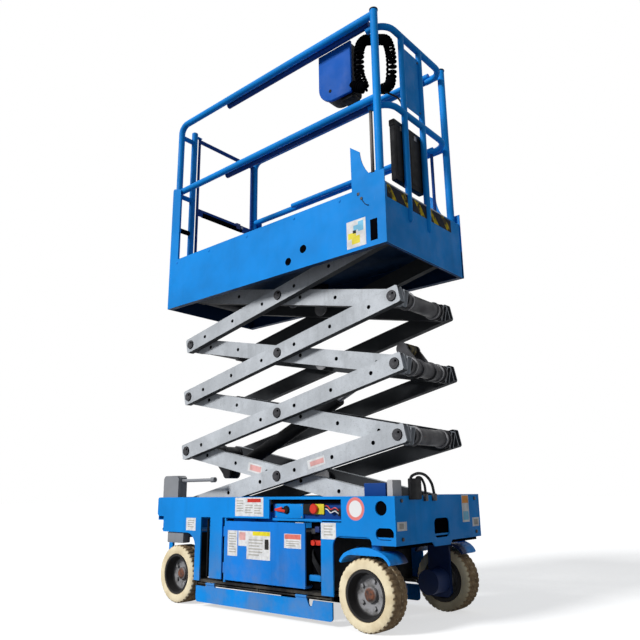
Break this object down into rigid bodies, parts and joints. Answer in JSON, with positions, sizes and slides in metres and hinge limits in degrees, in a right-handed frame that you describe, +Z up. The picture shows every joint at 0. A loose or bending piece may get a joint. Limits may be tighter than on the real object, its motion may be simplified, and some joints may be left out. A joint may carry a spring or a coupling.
{
  "type": "scissor lift",
  "caption": "Electric slab scissor lift with a railed platform, sliding extension deck, stacked crossed arms and a low four-wheel chassis.",
  "frame": {"origin": "on the floor under the middle of the overall length and width", "axes": "+X towards the steered front end, +Y towards the far side from the ground controls, +Z up"},
  "size_m": [1.8299, 0.76, 3.086],
  "materials": {
    "blue_paint": "gloss blue machine enamel with scuffed edges",
    "arm_paint": "satin light grey paint",
    "dark_steel": "satin black paint",
    "steel": "bare pin steel",
    "rod_chrome": "hard chrome",
    "tyre": "cream solid rubber with a brown worn tread",
    "rim_paint": "grey paint with rust at the hub",
    "black_plastic": "matt black plastic",
    "control_plastic": "navy panel with red and black controls"
  },
  "bodies": {
    "chassis": {"chassis_sides": "blue_paint", "chassis_ends": "blue_paint", "chassis_shelves": "blue_paint", "chassis_spine": "dark_steel", "guard_sills": "dark_steel", "base_tracks": "blue_paint", "ground_controls": "control_plastic", "rear_post": "arm_paint", "rear_axle": "dark_steel", "entry_ladder": "blue_paint", "tray_hinge_rods": "blue_paint"},
    "tray_near": {"tray_near": "blue_paint", "battery_block": "black_plastic"},
    "tray_far": {"tray_far": "blue_paint", "hydraulic_block": "dark_steel"},
    "guard_near": {"pothole_guard_near": "blue_paint"},
    "guard_far": {"pothole_guard_far": "blue_paint"},
    "yoke_near": {"steer_yoke_near": "blue_paint"},
    "yoke_far": {"steer_yoke_far": "blue_paint"},
    "tie_bar": {"tie_bar": "dark_steel"},
    "wheel_front_near": {"tyre_front_near": "tyre", "rim_front_near": "rim_paint"},
    "wheel_front_far": {"tyre_front_far": "tyre", "rim_front_far": "rim_paint"},
    "wheel_rear_near": {"tyre_rear_near": "tyre", "rim_rear_near": "rim_paint"},
    "wheel_rear_far": {"tyre_rear_far": "tyre", "rim_rear_far": "rim_paint"},
    "inner_1": {"inner_arms_1": "arm_paint", "cross_tubes_1": "steel"},
    "inner_2": {"inner_arms_2": "arm_paint", "cross_tubes_2": "steel"},
    "inner_3": {"inner_arms_3": "arm_paint", "cross_tubes_3": "steel"},
    "inner_4": {"inner_arms_4": "arm_paint", "cross_tubes_4": "steel"},
    "outer_1": {"outer_arms_1": "arm_paint", "base_rollers": "dark_steel"},
    "outer_2": {"outer_arms_2": "arm_paint"},
    "outer_3": {"outer_arms_3": "arm_paint"},
    "outer_4": {"outer_arms_4": "arm_paint"},
    "barrel": {"cylinder_barrel": "dark_steel"},
    "rod": {"cylinder_rod": "rod_chrome"},
    "platform": {"platform_sides": "blue_paint", "platform_deck": "blue_paint", "platform_ends": "blue_paint", "platform_tracks": "blue_paint", "guard_posts": "blue_paint", "side_rails": "blue_paint", "rear_rails": "blue_paint"},
    "gate": {"entry_gate": "blue_paint"},
    "extension": {"extension_deck": "blue_paint", "extension_side_rails": "blue_paint", "extension_front_rails": "blue_paint", "extension_posts": "blue_paint", "manual_box": "black_plastic", "control_box": "blue_paint", "control_cable": "black_plastic"}
  },
  "joints": [
    {"name": "lift", "type": "hinge", "parent": "chassis", "child": "inner_1", "pos_m": [0.835, 0, 0.503], "axis": [0, 1, 0], "range_deg": [-8.5, 43.2]},
    {"name": "left_pivot_1", "type": "hinge", "parent": "inner_1", "child": "outer_2", "pos_m": [-0.71659, 0, 0.8365], "axis": [0, -1, 0], "range_deg": [-17, 86.4]},
    {"name": "right_pivot_2", "type": "hinge", "parent": "outer_2", "child": "inner_3", "pos_m": [0.835, 0, 1.17], "axis": [0, 1, 0], "range_deg": [-17, 86.4]},
    {"name": "left_pivot_3", "type": "hinge", "parent": "inner_3", "child": "outer_4", "pos_m": [-0.71659, 0, 1.5035], "axis": [0, -1, 0], "range_deg": [-17, 86.4]},
    {"name": "platform_level", "type": "hinge", "parent": "outer_4", "child": "platform", "pos_m": [0.835, 0, 1.837], "axis": [0, 1, 0], "range_deg": [-8.5, 43.2]},
    {"name": "centre_pivot_1", "type": "hinge", "parent": "inner_1", "child": "outer_1", "pos_m": [0.0592, 0, 0.66975], "axis": [0, -1, 0], "range_deg": [-17, 86.4]},
    {"name": "centre_pivot_2", "type": "hinge", "parent": "outer_2", "child": "inner_2", "pos_m": [0.0592, 0, 1.00325], "axis": [0, 1, 0], "range_deg": [-17, 86.4]},
    {"name": "centre_pivot_3", "type": "hinge", "parent": "inner_3", "child": "outer_3", "pos_m": [0.0592, 0, 1.33675], "axis": [0, -1, 0], "range_deg": [-17, 86.4]},
    {"name": "centre_pivot_4", "type": "hinge", "parent": "outer_4", "child": "inner_4", "pos_m": [0.0592, 0, 1.67025], "axis": [0, 1, 0], "range_deg": [-17, 86.4]},
    {"name": "cylinder_pivot", "type": "hinge", "parent": "inner_1", "child": "barrel", "pos_m": [-0.5851, 0, 0.70401], "axis": [0, -1, 0], "range_deg": [-16.2, 82.34]},
    {"name": "cylinder_stroke", "type": "slide", "parent": "barrel", "child": "rod", "axis": [0.9176, 0, 0.3975], "range_m": [-0.0822, 0.41772]},
    {"name": "steer_near", "type": "hinge", "parent": "chassis", "child": "yoke_near", "pos_m": [0.715, -0.275, 0.328], "axis": [0, 0, 1], "range_deg": [-65, 65]},
    {"name": "steer_far", "type": "hinge", "parent": "chassis", "child": "yoke_far", "pos_m": [0.715, 0.275, 0.328], "axis": [0, 0, 1], "range_deg": [-65, 65]},
    {"name": "tie_bar_pivot", "type": "hinge", "parent": "yoke_near", "child": "tie_bar", "pos_m": [0.605, -0.275, 0.328], "axis": [0, 0, 1], "range_deg": [-65, 65]},
    {"name": "spin_front_near", "type": "hinge", "parent": "yoke_near", "child": "wheel_front_near", "pos_m": [0.715, -0.323, 0.1525], "axis": [0, 1, 0], "continuous": true},
    {"name": "spin_front_far", "type": "hinge", "parent": "yoke_far", "child": "wheel_front_far", "pos_m": [0.715, 0.323, 0.1525], "axis": [0, 1, 0], "continuous": true},
    {"name": "spin_rear_near", "type": "hinge", "parent": "chassis", "child": "wheel_rear_near", "pos_m": [-0.605, -0.323, 0.1525], "axis": [0, 1, 0], "continuous": true},
    {"name": "spin_rear_far", "type": "hinge", "parent": "chassis", "child": "wheel_rear_far", "pos_m": [-0.605, 0.323, 0.1525], "axis": [0, 1, 0], "continuous": true},
    {"name": "tray_near_swing", "type": "hinge", "parent": "chassis", "child": "tray_near", "pos_m": [-0.206, -0.367, 0.3], "axis": [0, 0, -1], "range_deg": [0, 90]},
    {"name": "tray_far_swing", "type": "hinge", "parent": "chassis", "child": "tray_far", "pos_m": [-0.206, 0.367, 0.3], "axis": [0, 0, 1], "range_deg": [0, 90]},
    {"name": "guard_near_fold", "type": "hinge", "parent": "chassis", "child": "guard_near", "pos_m": [0.0375, -0.36, 0.117], "axis": [1, 0, 0], "range_deg": [0, 90]},
    {"name": "guard_far_fold", "type": "hinge", "parent": "chassis", "child": "guard_far", "pos_m": [0.0375, 0.36, 0.117], "axis": [-1, 0, 0], "range_deg": [0, 90]},
    {"name": "gate_swing", "type": "hinge", "parent": "platform", "child": "gate", "pos_m": [-0.786, -0.194, 2.4], "axis": [0, 0, -1], "range_deg": [0, 90]},
    {"name": "extension_slide", "type": "slide", "parent": "platform", "child": "extension", "axis": [1, 0, 0], "range_m": [0, 0.91]}
  ],
  "couplings": [
    {"joint": "left_pivot_1", "follows": "lift", "ratio": 2},
    {"joint": "right_pivot_2", "follows": "lift", "ratio": 2},
    {"joint": "left_pivot_3", "follows": "lift", "ratio": 2},
    {"joint": "platform_level", "follows": "lift", "ratio": 1},
    {"joint": "centre_pivot_1", "follows": "lift", "ratio": 2},
    {"joint": "centre_pivot_2", "follows": "lift", "ratio": 2},
    {"joint": "centre_pivot_3", "follows": "lift", "ratio": 2},
    {"joint": "centre_pivot_4", "follows": "lift", "ratio": 2},
    {"joint": "cylinder_pivot", "follows": "lift", "ratio": 1.906},
    {"joint": "cylinder_stroke", "follows": "lift", "m_per_rad": 0.554},
    {"joint": "steer_far", "follows": "steer_near", "ratio": 1},
    {"joint": "tie_bar_pivot", "follows": "steer_near", "ratio": -1}
  ]
}
